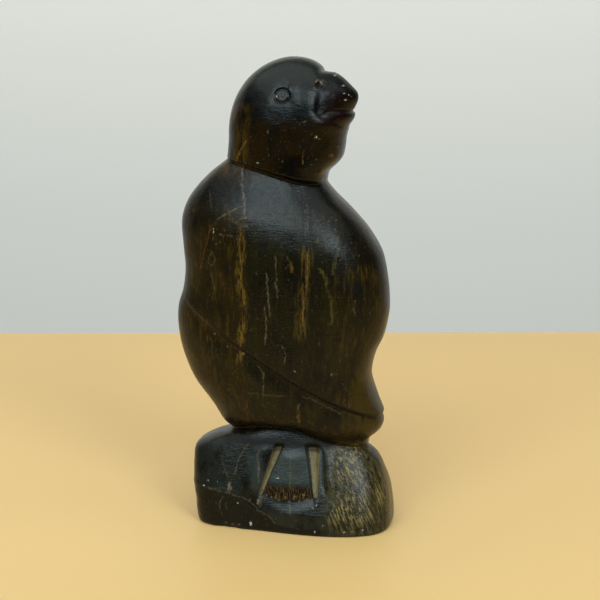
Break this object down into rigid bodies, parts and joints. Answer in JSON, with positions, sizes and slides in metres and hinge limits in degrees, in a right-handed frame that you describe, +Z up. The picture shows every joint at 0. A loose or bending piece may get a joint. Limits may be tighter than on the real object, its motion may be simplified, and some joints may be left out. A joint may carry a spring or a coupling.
{
  "type": "carved bird figure",
  "caption": "Standing bird carved in dark soapstone in one piece with its plinth, head turned to one side over a folded wing, feet cut in relief on the sloping front.",
  "frame": {"origin": "centre of the bounding box on the plane the plinth stands on", "axes": "+X to the side the beak points to, -Y to the side with the feet, +Z up"},
  "size_m": [0.095, 0.0526, 0.2003],
  "materials": {
    "soapstone": "hand-polished near-black green soapstone with olive and amber veins"
  },
  "bodies": {
    "root": {"bird_carving": "soapstone"}
  },
  "joints": []
}
